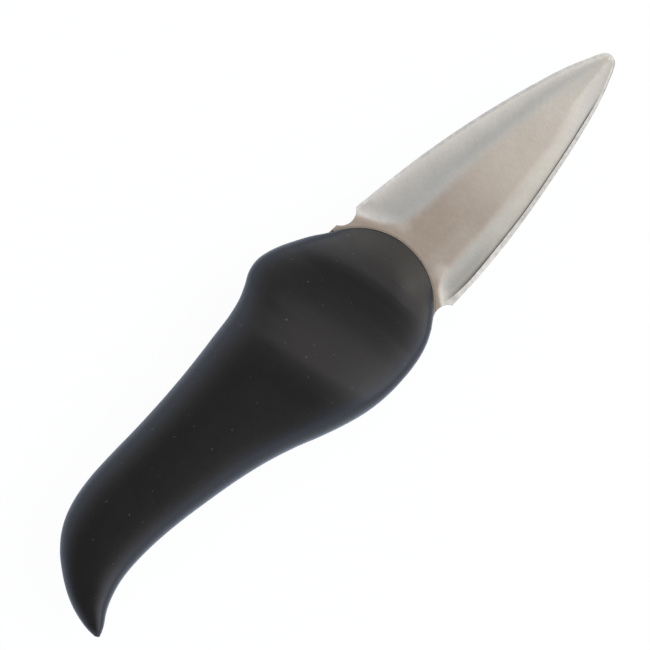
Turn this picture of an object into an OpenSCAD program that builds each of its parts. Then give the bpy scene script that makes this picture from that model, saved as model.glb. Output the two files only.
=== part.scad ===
// Oyster knife lying on its side. A stout steel blade has a flat tang, which is clamped
// between the halves of a hard core, and a soft grip is moulded over the core.
// +X runs to the blade's nose, +Y to the bump on the handle, and +Z up.
// The drawing frame below has its X axis along the blade and z = 0 in the blade's mid-plane.

/* [Blade] */
// Thickness of the flat middle of the blade
blade_thickness = 2.5; // [2.2:0.1:3]
// Thickness where the hollow grind meets the rim bevel
ground_thickness = 1.2; // [0.9:0.1:1.5]
// Thickness left at the blunt rim
rim_thickness = 0.5; // [0.3:0.1:0.7]
// Width of the rim bevel on the edge at -Y, below the blade's axis
lower_rim = 1.25; // [0.8:0.05:1.5]
// Width of the rim bevel on the other edge
upper_rim = 0.85; // [0.5:0.05:1.2]
// How deep the tang is relieved on each face, so that the grip's lip sits in a step
tang_relief = 0.15; // [0.05:0.05:0.3]

/* [Tang] */
// Width of the tang inside the handle
tang_width = 13; // [11:0.5:14]
// Distance from the drawing origin back to the tang's end
tang_reach = 82; // [78:1:90]
// Diameter of the holes that the core's pegs go through
tang_hole = 6; // [5:0.5:7]

/* [Handle] */
// Thickness of the soft grip over the hard core
skin = 2.5; // [2:0.25:3]
// Wall of the hollow core
core_wall = 2.2; // [1.8:0.1:2.8]
// How square the handle's section is: 2 is an ellipse
roundness = 2.3; // [2:0.1:2.8]
// Half the thickness of the grip's lip round the blade
lip = 2; // [1.8:0.1:2.4]
// Clearance of a peg in its hole, on the radius
peg_clearance = 0.1; // [0.05:0.05:0.2]

/* [Hidden] */

// The part's origin is the middle of its box's bottom face, seen from the drawing origin.
box_middle = [-24.8, 4.3];
rest_height = 12.1;

half_blade = blade_thickness / 2;
half_ground = ground_thickness / 2;
half_rim = rim_thickness / 2;
half_tang = half_blade - tang_relief;

// The two edges of the blade, from the heel to the nose, as [x, y].
upper_edge = [
    [1.3, 19.75], [10, 18.75], [25, 16.55], [40, 13.45], [55, 9.4], [65, 6.1], [71.8, 3.1]
];
lower_edge = [
    [0.5, -15.6], [10, -15.3], [25, -13.9], [40, -11.5], [55, -8.45], [65, -5.75], [71.8, -3.1]
];
// Stretches that each edge is drawn with, and degrees between the points round the nose
edge_steps = 24;
nose_step = 11;
// Where the flat middle ends and the hollow grind begins, with the plunge at the heel.
upper_grind = [
    [-2, 21], [0, 17.3], [2, 13.2], [4, 10.2], [6, 8.1], [9, 7.1], [25, 5.4], [40, 4.4],
    [50, 3.3], [60, 1.4], [66, -0.6], [76, -4.6]
];
lower_grind = [
    [-2.6, 14.6], [-0.6, 11.6], [1.4, 9.3], [3.4, 8.2], [6, 8], [20, 7.8], [30, 7], [40, 6.1],
    [50, 4.9], [60, 2.8], [66, 0.8], [76, -3.2]
];
// Steepness of the plunge, from the flat down to the ground face, and where it has run out
plunge_slope = 0.4;
plain_start = 9;
// How hollow the grind is: 1 is flat
hollow = 1.5;
// Shares of the way from the flat to the rim where the cutter follows the ground face
face_shares = [-0.15, 0, 0.12, 0.3, 0.55, 0.8, 1];
// Least width of the ground face, near the nose
least_face = 0.3;
// How far the cutters reach past the steel
cutter_reach = 2;

nose = [72.1, 0];
nose_radius = 2.6;
nose_angle = 66;
nose_start = nose.x + nose_radius * cos(nose_angle);

// Round notches between the heel and the handle
notch_radius = 4;
upper_notch = [-2.2, 22];
lower_notch = [-3.1, -17.6];

// Hidden shoulders, where the blade narrows to the tang
tang_middle = 5;
upper_shoulder = [[-22, tang_middle + tang_width / 2], [-13, 15.5], [-8.8, 20.2]];
lower_shoulder = [[-4.3, -15.6], [-6, -12], [-13, -7.5], [-22, tang_middle - tang_width / 2]];
tang_corner = 4;

// Tang holes and the core's pegs
peg_places = [-34, -52, -70];
peg_depth = 4;
socket_depth = 5;
// How far a filling solid laps over what it joins
fill = 1;
// Hollows of the core, between the ribs that hold the pegs, as [start, end] along x
hollows = [[-103, -76], [-64.5, -57.5], [-46.5, -39.5], [-28, -13]];
// Greatest distance between the rings of a hollow
hollow_step = 4;

// The front edge of the grip is an arc round this point.
lip_middle = [-16.6, 2];
lip_radius = 19.7;
// Gap between the grip's lip and the step on the blade
lip_gap = 0.35;
lip_upper_angle = 64;
lip_lower_angle = -55.5;
// The rungs of the front go on past the lip by equal steps of the angle, to a short last one.
lip_steps = 11;
last_step = 0.7;
// The wall inside the lip's edge rises from nothing over this stretch of x.
wall_start = -17;
wall_length = 8;

// The handle's outline as rungs from the tail's tip to the lip, each [upper x, y, lower x, y].
rungs = [
    [-124.45, -9.2, -123.7, -10.4],
    [-124.45, -6.8, -122.3, -9.9],
    [-124, -3.8, -120.6, -9],
    [-123, -0.2, -118.4, -7.5],
    [-121.2, 3.8, -116, -6.25],
    [-118.6, 7.9, -113.3, -5.25],
    [-114.9, 12.4, -110.2, -4.4],
    [-110, 16.2, -106.4, -3.85],
    [-104, 18.65, -101.5, -3.65],
    [-96.5, 19.95, -95.3, -3.85],
    [-88, 20.3, -87.8, -4.6],
    [-79, 20.35, -79, -5.95],
    [-70, 20.65, -70, -7.6],
    [-61.5, 21.2, -61.5, -9.7],
    [-54, 21.95, -54, -12.2],
    [-47.5, 22.75, -47.3, -14.95],
    [-41.8, 23.45, -41.4, -17.1],
    [-37, 24.55, -36.5, -18.55],
    [-33.3, 26.1, -32.6, -19.35],
    [-30, 27.8, -29.2, -19.75],
    [-26.6, 28.45, -25.8, -19.9],
    [-23.2, 27.95, -22.2, -19.8],
    [-19.6, 26.65, -18.5, -19.5],
    [-15.9, 24.8, -14.6, -18.8],
    [-12.3, 22.75, -11, -17.6],
    [-9.6, 20.85, -7.9, -16]
];
// Half the handle's thickness along its middle: the tail swells to a crest behind the thumb
// rest, the rest dips and rises again to a low front crest, and the front falls to the lip.
crown = [
    [-124.1, 1], [-123.4, 2.2], [-122.3, 3.1], [-120.5, 4.2], [-118, 5.2], [-114, 6.4], [-108, 7.5],
    [-100, 8.5], [-85, 9.6], [-70, 10.35], [-56, 11], [-47, 11.55], [-42, 12], [-39.3, 12.1],
    [-37, 12], [-33.5, 11.25], [-29, 10.15], [-24, 9.25], [-18.5, 9], [-13, 9.15], [-10.5, 9.25],
    [-8.6, 9.15], [-5.5, 8.3], [-1, 5.95], [3.2, 2.5]
];
// The crests cross the handle on a slant and a bend: [x, shift per y, shift per y squared].
crest_slant = [[-75, 0], [-48, 0.3], [-39, 0.24], [-20, 0.17], [-8, 0.18], [4, 0.1]];
crest_bend = [[-75, 0], [-48, 0.006], [-39, 0], [-20, 0.006], [-8, 0.0088], [4, 0.0088]];
// Behind this x the crests run square to X, and no point's crown is taken from further off.
slant_start = -75;
slant_reach = 12;

ring_points = 36;
// The core runs from this rung of the tail to this many steps of the front.
core_start = 6;
core_front_steps = 4;

// Smooth curve through points [x, y] in rising order of x, and its slope at each point.
function rise(p, i) = (p[i + 1].y - p[i].y) / (p[i + 1].x - p[i].x);
function slope(p, i) =
    i == 0 ? rise(p, 0) :
    i == len(p) - 1 ? rise(p, i - 1) :
    let (before = p[i].x - p[i - 1].x, after = p[i + 1].x - p[i].x)
    (rise(p, i - 1) * after + rise(p, i) * before) / (before + after);
function stretch(p, x, i = 0) = i >= len(p) - 2 || x < p[i + 1].x ? i : stretch(p, x, i + 1);
function along(p, x) =
    let (
        i = stretch(p, x),
        span = p[i + 1].x - p[i].x,
        t = (x - p[i].x) / span
    )
    t < 0 ? p[0].y + slope(p, 0) * (x - p[0].x) :
    t > 1 ? p[i + 1].y + slope(p, i + 1) * (x - p[i + 1].x) :
    p[i].y * (1 + 2 * t) * pow(1 - t, 2) + p[i + 1].y * (3 - 2 * t) * t * t
    + span * t * (1 - t) * (slope(p, i) * (1 - t) - slope(p, i + 1) * t);

// A row between the rows of a table, on a smooth curve through the nearest four.
function row(table, i) = table[max(0, min(len(table) - 1, i))];
function between(table, at) =
    let (
        i = min(floor(at), len(table) - 2),
        t = at - i,
        a = row(table, i - 1),
        b = row(table, i),
        c = row(table, i + 1),
        d = row(table, i + 2)
    )
    b + t / 2 * (c - a + t * (2 * a - 5 * b + 4 * c - d + t * (3 * (b - c) + d - a)));

function on_circle(middle, radius, angle) = middle + radius * [cos(angle), sin(angle)];

// Blade

function edge_curve(edge) =
    let (start = edge[0].x, end = edge[len(edge) - 1].x)
    [for (k = [0 : edge_steps]) let (x = start + (end - start) * k / edge_steps) [x, along(edge, x)]];

module blade_outline() {
    tang_end = tang_corner - tang_reach;
    tang_side = tang_width / 2 - tang_corner;
    upper = edge_curve(upper_edge);
    lower = edge_curve(lower_edge);
    difference() {
        union() {
            polygon(concat(
                [for (k = [len(upper) - 1 : -1 : 0]) upper[k]],
                [for (k = [len(upper_shoulder) - 1 : -1 : 0]) upper_shoulder[k]],
                [[tang_end, tang_middle + tang_width / 2], [tang_end, tang_middle - tang_width / 2]],
                [for (k = [len(lower_shoulder) - 1 : -1 : 0]) lower_shoulder[k]],
                lower,
                [for (a = [-nose_angle : nose_step : nose_angle]) on_circle(nose, nose_radius, a)]
            ));
            for (side = [-1, 1]) {
                translate([tang_end, tang_middle + side * tang_side]) circle(tang_corner);
            }
            translate([-tang_reach, tang_middle - tang_side]) square([2 * tang_corner, 2 * tang_side]);
        }
        translate(upper_notch) circle(notch_radius);
        translate(lower_notch) circle(notch_radius);
        for (x = peg_places) translate([x, tang_middle]) circle(tang_hole / 2);
    }
}

// Height of the ground face over the mid-plane at distance y from the axis
function ground_height(y, inner_rim, plunge_start, grind) =
    let (
        q = max(0, (inner_rim - y) / (inner_rim - grind)),
        face = half_ground + (half_blade - half_ground) * pow(q, hollow),
        plunge = half_blade - plunge_slope * (y - plunge_start)
    )
    max(face, plunge);

// One ring of the cutter across the ground side at x, as points [y, z]
function grind_ring(x, side, edge, grind, rim) =
    let (
        from_nose = min(abs(x - nose.x), nose_radius),
        rim_y = x > nose_start ? sqrt(pow(nose_radius, 2) - pow(from_nose, 2)) : side * along(edge, x),
        inner_rim = rim_y - rim,
        plunge_start = min(along(grind, x), inner_rim - least_face),
        plain = min(along(grind, max(x, plain_start)), inner_rim - least_face),
        face = [for (f = face_shares) plunge_start + f * (inner_rim - plunge_start)],
        top = half_blade + cutter_reach,
        outside = rim_y + cutter_reach
    )
    concat(
        [for (y = face) [y, ground_height(y, inner_rim, plunge_start, plain)]],
        [[rim_y, half_rim], [outside, half_rim], [outside, top], [face[0], top]]
    );

// Solid over one ground side. side is 1 over the upper edge and -1 over the lower one.
module grind_cutter(side, edge, grind, rim) {
    plunge = [for (x = [-2 : 1 : 8]) x];
    middle = [for (x = [12 : 4 : 68]) x];
    tip = [for (x = [70 : 1 : 76]) x];
    places = concat(plunge, middle, tip);
    mirror([0, side < 0 ? 1 : 0, 0])
        loft([for (x = places) [for (p = grind_ring(x, side, edge, grind, rim)) [x, p[0], p[1]]]]);
}

module tang_plate() {
    linear_extrude(2 * half_tang, center = true) blade_outline();
}

module blade() {
    color("silver") placed() difference() {
        linear_extrude(blade_thickness, center = true) blade_outline();
        for (face = [0, 1]) mirror([0, 0, face]) {
            grind_cutter(1, upper_edge, upper_grind, upper_rim);
            grind_cutter(-1, lower_edge, lower_grind, lower_rim);
            translate([lip_middle.x, lip_middle.y, half_tang])
                cylinder(h = cutter_reach, r = lip_radius + lip_gap);
            translate([-tang_reach - cutter_reach, -2 * lip_radius, half_tang])
                cube([tang_reach + cutter_reach + lip_middle.x, 4 * lip_radius, cutter_reach]);
        }
    }
}

// Handle

// The solid through closed rings of points, each with the same count, turning the same way.
// Each end is closed by a fan from its ring's last point.
module loft(rings) {
    count = len(rings[0]);
    last = len(rings) - 1;
    end = last * count;
    polyhedron(
        points = [for (r = rings) each r],
        faces = concat(
            [for (k = [0 : count - 3]) [count - 1, k, k + 1]],
            [for (i = [0 : last - 1], k = [0 : count - 1])
                let (a = i * count + k, b = i * count + (k + 1) % count)
                each [[a, a + count, b], [b, a + count, b + count]]],
            [for (k = [0 : count - 3]) [end + count - 1, end + k + 1, end + k]]
        ),
        convexity = 6
    );
}

function lip_rung(f) = concat(
    on_circle(lip_middle, lip_radius, lip_upper_angle * (1 - f)),
    on_circle(lip_middle, lip_radius, lip_lower_angle * (1 - f))
);

function half_thickness(x, y) =
    let (v = y - lip_middle.y, warped = x + along(crest_slant, x) * v + along(crest_bend, x) * v * v)
    along(crown, x < slant_start ? x : min(max(warped, x - slant_reach), x + slant_reach));

function power(a, e) = sign(a) * pow(abs(a), e);

// One ring of the handle, moved in by inset, as points from the upper side over the top.
function ring(rung, inset, wall, from, to) =
    let (
        upper = [rung[0], rung[1]],
        lower = [rung[2], rung[3]],
        middle = (upper + lower) / 2,
        half = (upper - lower) / 2,
        reach = half * (1 - inset / norm(half))
    )
    [for (k = [from : to])
        let (
            a = 360 * k / ring_points,
            p = middle + reach * power(cos(a), 2 / roundness),
            t = max(half_thickness(middle.x, p.y), wall) - inset
        )
        [p.x, p.y, sign(sin(a)) * (wall + (t - wall) * pow(abs(sin(a)), 2 / roundness))]];

module handle_body() {
    tail = [for (k = [0 : 0.5 : len(rungs) - 1]) between(rungs, k)];
    front = [for (k = [0 : lip_steps - 1]) lip_rung(k / (lip_steps - 1 + last_step))];
    function wall(x) = lip * min(1, max(0, (x - wall_start) / wall_length));
    loft([for (r = concat(tail, front)) ring(r, 0, wall((r[0] + r[2]) / 2), 0, ring_points - 1)]);
}

// Rung of the handle at x, on the stretch where the rungs are nearly square to X
function rung_at(x) =
    let (at = lookup(x, [for (k = [0 : len(rungs) - 1]) [(rungs[k][0] + rungs[k][2]) / 2, k]]))
    between(rungs, at);

module core_body(from, to) {
    tail = [for (k = [core_start : 0.5 : len(rungs) - 1]) between(rungs, k)];
    front = [for (k = [1 : core_front_steps]) lip_rung(k / lip_steps)];
    loft([for (r = concat(tail, front)) ring(r, skin, 0, from, to)]);
}

module core_hollow(start, end) {
    steps = max(2, round((end - start) / hollow_step));
    half_ring = ring_points / 2;
    loft([for (k = [0 : steps])
        let (
            rung = rung_at(start + (end - start) * k / steps),
            points = ring(rung, skin + core_wall, 0, 1, half_ring - 1)
        )
        concat(
            [[points[0].x, points[0].y, -1]],
            points,
            [[points[half_ring - 2].x, points[half_ring - 2].y, -1]]
        )]);
}

module core_half() {
    difference() {
        core_body(0, ring_points / 2);
        tang_plate_blank();
        for (h = hollows) core_hollow(h[0], h[1]);
    }
}

// The tang's space in the core, without its holes
module tang_plate_blank() {
    tang_plate();
    for (x = peg_places) translate([x, tang_middle, 0]) {
        cylinder(h = 2 * half_tang, d = tang_hole + fill, center = true);
    }
}

module core_upper_half() {
    color("dimgray") placed() {
        core_half();
        for (x = peg_places) translate([x, tang_middle, -peg_depth]) {
            cylinder(h = peg_depth + half_tang + fill, r = tang_hole / 2 - peg_clearance);
        }
    }
}

module core_lower_half() {
    color("gray") placed() difference() {
        mirror([0, 0, 1]) core_half();
        for (x = peg_places) translate([x, tang_middle, -socket_depth]) {
            cylinder(h = socket_depth, d = tang_hole);
        }
    }
}

module grip_skin() {
    color([0.13, 0.13, 0.14]) placed() difference() {
        handle_body();
        core_body(0, ring_points - 1);
        tang_plate();
    }
}

module placed() {
    translate([-box_middle.x, -box_middle.y, rest_height]) children();
}

blade();
core_upper_half();
core_lower_half();
grip_skin();
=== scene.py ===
import math

import bpy
import numpy as np
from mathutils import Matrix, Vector
from mathutils.geometry import delaunay_2d_cdt


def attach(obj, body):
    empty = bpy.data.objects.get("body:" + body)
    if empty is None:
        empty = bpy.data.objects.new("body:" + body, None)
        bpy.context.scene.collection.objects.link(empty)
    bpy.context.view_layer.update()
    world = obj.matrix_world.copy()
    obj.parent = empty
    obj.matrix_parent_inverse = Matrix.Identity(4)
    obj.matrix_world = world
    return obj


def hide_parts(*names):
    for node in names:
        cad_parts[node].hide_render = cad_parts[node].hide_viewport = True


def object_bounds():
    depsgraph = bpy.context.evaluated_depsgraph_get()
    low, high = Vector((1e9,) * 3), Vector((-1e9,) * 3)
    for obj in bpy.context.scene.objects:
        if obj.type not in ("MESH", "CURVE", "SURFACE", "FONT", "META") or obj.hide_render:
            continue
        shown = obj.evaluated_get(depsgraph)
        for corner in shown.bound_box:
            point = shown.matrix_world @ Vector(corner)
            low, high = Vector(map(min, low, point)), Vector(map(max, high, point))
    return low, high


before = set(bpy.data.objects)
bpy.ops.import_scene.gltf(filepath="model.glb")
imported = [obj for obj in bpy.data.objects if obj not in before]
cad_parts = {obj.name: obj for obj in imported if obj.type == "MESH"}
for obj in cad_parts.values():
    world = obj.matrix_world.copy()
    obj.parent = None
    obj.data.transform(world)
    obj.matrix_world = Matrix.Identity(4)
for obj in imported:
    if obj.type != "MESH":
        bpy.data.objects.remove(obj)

cad_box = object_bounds()

# The drawing frame is in millimetres, with X along the blade and z = 0 in its mid-plane. The
# row frame's origin lies at BOX_MIDDLE in it, and REST_HEIGHT under that plane.
BOX_MIDDLE = (-24.8, 4.3)
REST_HEIGHT = 12.1
MM = 0.001

# Blade: thicknesses
BLADE_THICKNESS = 2.5
GROUND_THICKNESS = 1.2
RIM_THICKNESS = 0.5
TANG_RELIEF = 0.15
# Blade: width of the rim bevels, the -Y one as (x, width), and the steepest that they fall
UPPER_RIM = 0.85
LOWER_RIM = [
    (0, 2), (2.5, 1.5), (5, 1.3), (8, 1.15), (12, 1.2), (20, 1.25), (30, 1.1), (50, 1.05),
    (58, 0.95), (66, 0.7), (75, 0.7),
]
RIM_SLOPE = 0.3
# Blade: the two edges and the borders of the flat middle, as (x, distance from the axis)
UPPER_EDGE = [
    (1.3, 19.75), (10, 18.75), (25, 16.55), (40, 13.45), (55, 9.4), (65, 6.1), (71.8, 3.1),
]
LOWER_EDGE = [
    (0.5, 15.6), (10, 15.3), (25, 13.9), (40, 11.5), (55, 8.45), (65, 5.75), (71.8, 3.1),
]
UPPER_GRIND = [
    (-2, 21), (0, 17.3), (2, 13.2), (4, 10.2), (6, 8.1), (9, 7.1), (25, 5.4), (40, 4.4),
    (50, 3.3), (60, 1.4), (66, -0.6), (76, -4.6),
]
LOWER_GRIND = [
    (-2.6, 14.6), (-0.6, 11.6), (1.4, 9.3), (3.4, 8.2), (6, 8), (20, 7.8), (30, 7), (40, 6.1),
    (50, 4.9), (60, 2.8), (66, 0.8), (76, -3.2),
]
# Blade: how hollow the ground faces are, and how steeply the wheel plunged into the flat.
# Behind PLAIN_START the inner border of a face runs straight on along X, and the plunge rises
# from the face to the flat. The -Y plunge flattens out over PLUNGE_REACH, taken square to its
# border, whose slant is read SLANT_STEP to either side.
HOLLOW = 1.5
PLAIN_START = 9
UPPER_PLUNGE = 0.125
LOWER_PLUNGE = 0.3
PLUNGE_REACH = 5.5
SLANT_STEP = 0.1
# Blade: how far creases are rounded over, some as (x, distance). The plunge's own fillet is
# gone at the first of its two places and full at the second.
PLAIN_FILLET = 0.02
PLUNGE_FILLET = 0.35
FILLET_FADES = (PLAIN_START + 2, PLAIN_START - 6)
SIDES_CREASE = 0.1
UPPER_CREASE = [(0, 0.3), (6, 0.26), (40, 0.32), (52, 0.5), (60, 0.9), (70, 1.3)]
LOWER_CREASE = [
    (-3, 0.08), (3, 0.1), (8, 0.25), (20, 0.42), (40, 0.4), (52, 0.55), (60, 1), (70, 1.4),
]
# Blade: nose, notches and tang
NOSE = (72.1, 0)
NOSE_RADIUS = 2.6
NOSE_ANGLE = 66
NOTCH_RADIUS = 4
UPPER_NOTCH = (-2.2, 22)
UPPER_NOTCH_TURN = (-34.1, -150.5)
LOWER_NOTCH = (-3.1, -17.6)
LOWER_NOTCH_TURN = (118.6, 30)
UPPER_SHOULDER = [(-8.8, 20.2), (-13, 15.5), (-22, 11.5)]
LOWER_SHOULDER = [(-22, -1.5), (-13, -7.5), (-6, -12)]
TANG_REACH = 82
TANG_MIDDLE = 5
TANG_WIDTH = 13
TANG_CORNER = 4
TANG_HOLE = 6
HOLE_POINTS = 16
PEG_PLACES = (-34, -52, -70)

# Blade's finish: depth under the flat where the ground finish starts, and how much deeper it is
# full, as (x, depth)
GROUND_START = 0.01
GROUND_DEPTH = [(0, 0.15), (35, 0.2)]
# Width of the border between the finishes near the nose, and where it takes over
WIDE_BORDER = 5
BORDER_WIDENS = (42, 54)
# The darker streak on the +Y ground face, a painted reflection
STREAK_Y = [(5, 10.5), (20, 10), (40, 7.5), (52, 5.7), (60, 4.4), (66, 2.6), (74, 0.5)]
STREAK_WIDTH = [(5, 2.2), (40, 1.5), (60, 1.2), (66, 0.9), (74, 0.5)]
STREAK_STARTS = (3, 11)
STREAK_ENDS = (74, 66)
# Painted shade: the dark line below stands in for shade along the crease inside the -Y rim.
# The dark line inside the -Y rim. The mesh has a line of points for it at this distance from
# the rim and one at twice it, as far as LINE_STOPS.
DARK_LINE = 0.3
LINE_STOPS = NOSE[0] - 3
LINE_SOFTNESS = [(0, 0.9), (8, 0.75), (20, 0.42), (35, 0.34), (70, 0.3)]
LINE_STRENGTH = [
    (-1, 0.05), (2.5, 0.45), (4.5, 0.6), (6, 0.72), (10, 0.85), (20, 0.93), (35, 1),
]
LINE_FALL = 1.5
LINE_ENDS = (66, 59)
# The faint, wide shade beside that line at the heel
SHADE = 0.17
SHADE_MIDDLE = 2
SHADE_WIDTH = 1.6
SHADE_STARTS = (1, 4)
SHADE_ENDS = (22, 14)
# The dark line on the -Y side of the tip, painted shade
TIP_LINE = 0.35
TIP_START = 64
TIP_STRENGTH = 0.5
TIP_GROWS = (65, 68)
TIP_SIDE = (0.8, 1.8)
# The light band inside the +Y rim, a painted reflection
BAND_WIDTH = [(0, 4.5), (40, 4.2), (50, 3.4), (60, 1.9), (66, 1.4), (74, 1.2)]
BAND_SHARE = 0.5
BAND_SIDE = (-1.5, 1.5)
BAND_STARTS = (0, 6)

# Blade's mesh: rounding of its edges, in these turns, and the relief's step, between bearings
EDGE_ROUND = 0.1
EDGE_TURNS = (30, 60, 90)
STEP_WIDTH = 0.05
STEP_TURN = (62, -51)
# Points along each edge, round the nose, the notches, the tang's corners and the step
EDGE_POINTS = 90
NOSE_POINTS = 19
UPPER_NOTCH_POINTS = 26
LOWER_NOTCH_POINTS = 20
CORNER_POINTS = 9
STEP_POINTS = 90
# Boxes and pitches of the two grids, and how far their points keep from other lines
FINE_BOX = ((-10, -17), (75, 21))
FINE_PITCH = 0.6
FINE_FROM_EDGE = 0.3
FINE_FROM_LINE = 0.28
COARSE_BOX = ((-82, -3), (-10, 20))
COARSE_PITCH = 3
COARSE_CLEAR = 1
# How far to each side slopes are read, and how far inside a triangle its corners are looked at
SLOPE_STEP = 0.01
PROBE_STEP = 0.03

# Handle: the lip is an arc round this point, between two bearings. The blade's relief reaches
# LIP_GAP past it.
LIP_MIDDLE = (-16.6, 2)
LIP_RADIUS = 19.7
LIP_GAP = 0.35
LIP_ANGLES = (64, -55.5)
# Half the height of the lip's wall, which rises from nothing between these x. Round a ring it
# stands between the outermost point and the next one.
LIP = 2
WALL_RISES = (-17, -9)
WALL_TURN = 2.8
# The front slopes down to the lip this steeply, rounded into the crown. Towards the lip's ends
# the slope fades out, between these degrees from them.
LIP_SLOPE = 0.87
LIP_BLEND = 1.2
LIP_FADES = (3, 29)
# How square the handle's section is: 2 is an ellipse
ROUNDNESS = 2.3
# Rungs across the handle from the tail's tip to the lip, each (upper x, y, lower x, y)
RUNGS = [
    (-124.45, -9.2, -123.7, -10.4), (-124.45, -6.8, -122.3, -9.9), (-124, -3.8, -120.6, -9),
    (-123, -0.2, -118.4, -7.5), (-121.2, 3.8, -116, -6.25), (-118.6, 7.9, -113.3, -5.25),
    (-114.9, 12.4, -110.2, -4.4), (-110, 16.2, -106.4, -3.85), (-104, 18.65, -101.5, -3.65),
    (-96.5, 19.95, -95.3, -3.85), (-88, 20.3, -87.8, -4.6), (-79, 20.35, -79, -5.95),
    (-70, 20.65, -70, -7.6), (-61.5, 21.2, -61.5, -9.7), (-54, 21.95, -54, -12.2),
    (-47.5, 22.75, -47.3, -14.95), (-41.8, 23.45, -41.4, -17.1), (-37, 24.55, -36.5, -18.55),
    (-33.3, 26.1, -32.6, -19.35), (-30, 27.8, -29.2, -19.75), (-26.6, 28.45, -25.8, -19.9),
    (-23.2, 27.95, -22.2, -19.8), (-19.6, 26.65, -18.5, -19.5), (-15.9, 24.8, -14.6, -18.8),
    (-12.3, 22.75, -11, -17.6), (-9.6, 20.85, -7.9, -16),
]
# Half the handle's thickness along its middle
CROWN = [
    (-124.1, 1), (-123.4, 2.2), (-122.3, 3.1), (-120.5, 4.2), (-118, 5.2), (-114, 6.4),
    (-108, 7.5), (-100, 8.5), (-85, 9.6), (-70, 10.35), (-56, 11), (-47, 11.55), (-42, 12),
    (-39.3, 12.1), (-37, 12), (-33.5, 11.25), (-29, 10.15), (-24, 9.25), (-18.5, 9), (-13, 9.15),
    (-10.5, 9.25), (-8.6, 9.15), (-5.5, 8.3), (-1, 5.95), (3.2, 2.5),
]
# The crests cross the handle on a slant and a bend: (x, shift per y), (x, shift per y squared)
CREST_SLANT = [(-75, 0), (-48, 0.3), (-39, 0.24), (-20, 0.17), (-8, 0.18), (4, 0.1)]
CREST_BEND = [(-75, 0), (-48, 0.006), (-39, 0), (-20, 0.006), (-8, 0.0088), (4, 0.0088)]
SLANT_START = -75
SLANT_REACH = 12
# Rings along the handle and along the lip, how near its front the last one is, and the points
# in each
TAIL_RINGS = 201
LIP_RINGS = 40
LIP_END = 0.985
RING_POINTS = 128
# Ahead of this x the lip's wall and the slope above it meet in a plain corner.
SHARP_FROM = -8


def to_row(points):
    """Drawing millimetres to row metres."""
    return (np.asarray(points, float) + (-BOX_MIDDLE[0], -BOX_MIDDLE[1], REST_HEIGHT)) * MM


def curve(table):
    """Smooth curve through rows (x, value...) in rising order of x, straight past its ends."""
    table = np.array(table, float)
    x = table[:, 0]
    y = table[:, 1:]
    step = np.diff(x)[:, None]
    rise = np.diff(y, axis=0) / step
    slope = np.vstack([rise[:1], rise[-1:]]) if len(x) == 2 else np.vstack([
        rise[:1],
        (rise[:-1] * step[1:] + rise[1:] * step[:-1]) / (step[1:] + step[:-1]),
        rise[-1:],
    ])

    def at(place):
        place = np.asarray(place, float)
        inside = np.clip(place, x[0], x[-1])
        i = np.clip(np.searchsorted(x, inside, side="right") - 1, 0, len(x) - 2)
        span = step[i]
        t = (inside - x[i])[..., None] / span
        value = y[i] * (1 + 2 * t) * (1 - t) ** 2 + y[i + 1] * (3 - 2 * t) * t**2
        value = value + span * t * (1 - t) * (slope[i] * (1 - t) - slope[i + 1] * t)
        past = (place - inside)[..., None]
        value = value + past * np.where(past < 0, slope[0], slope[-1])
        return value[..., 0] if y.shape[1] == 1 else value

    return at


def ramp(value, start, end):
    """How far a value is on its way from start to end, from 0 to 1."""
    return np.clip((value - start) / (end - start), 0, 1)


def eased(share):
    """A share from 0 to 1 with a level start and end."""
    return share * share * (3 - 2 * share)


def arc(middle, radius, start, end, count):
    """Points on an arc, angles in degrees."""
    angles = np.radians(np.linspace(start, end, count))
    return np.array(middle) + radius * np.column_stack([np.cos(angles), np.sin(angles)])


def smooth_min(a, b, blend):
    """The lower of two heights, with the crease between them rounded over."""
    h = np.clip(0.5 + 0.5 * (b - a) / blend, 0, 1)
    return b + (a - b) * h - blend * h * (1 - h)


def smooth_max(a, b, blend):
    """The higher of two heights, with the crease between them filled."""
    return -smooth_min(-a, -b, blend)


# Blade

upper_edge = curve(UPPER_EDGE)
lower_edge = curve(LOWER_EDGE)
upper_grind = curve(UPPER_GRIND)
lower_grind = curve(LOWER_GRIND)
lower_rim = curve(LOWER_RIM)
upper_crease = curve(UPPER_CREASE)
lower_crease = curve(LOWER_CREASE)
ground_depth = curve(GROUND_DEPTH)
streak_y = curve(STREAK_Y)
streak_width = curve(STREAK_WIDTH)
line_softness = curve(LINE_SOFTNESS)
line_strength = curve(LINE_STRENGTH)
band_width = curve(BAND_WIDTH)

HALF_BLADE = BLADE_THICKNESS / 2
HALF_GROUND = GROUND_THICKNESS / 2
HALF_RIM = RIM_THICKNESS / 2
HALF_TANG = HALF_BLADE - TANG_RELIEF
STEP_RADIUS = LIP_RADIUS + LIP_GAP


def blade_edges():
    """The two ground edges and the nose between them, as one open line from heel to heel."""
    places = np.linspace(0, 1, EDGE_POINTS)
    upper_x = UPPER_EDGE[-1][0] + (UPPER_EDGE[0][0] - UPPER_EDGE[-1][0]) * places
    lower_x = LOWER_EDGE[0][0] + (LOWER_EDGE[-1][0] - LOWER_EDGE[0][0]) * places
    return np.vstack([
        np.column_stack([lower_x, -lower_edge(lower_x)]),
        arc(NOSE, NOSE_RADIUS, -NOSE_ANGLE, NOSE_ANGLE, NOSE_POINTS),
        np.column_stack([upper_x, upper_edge(upper_x)]),
    ])


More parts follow.
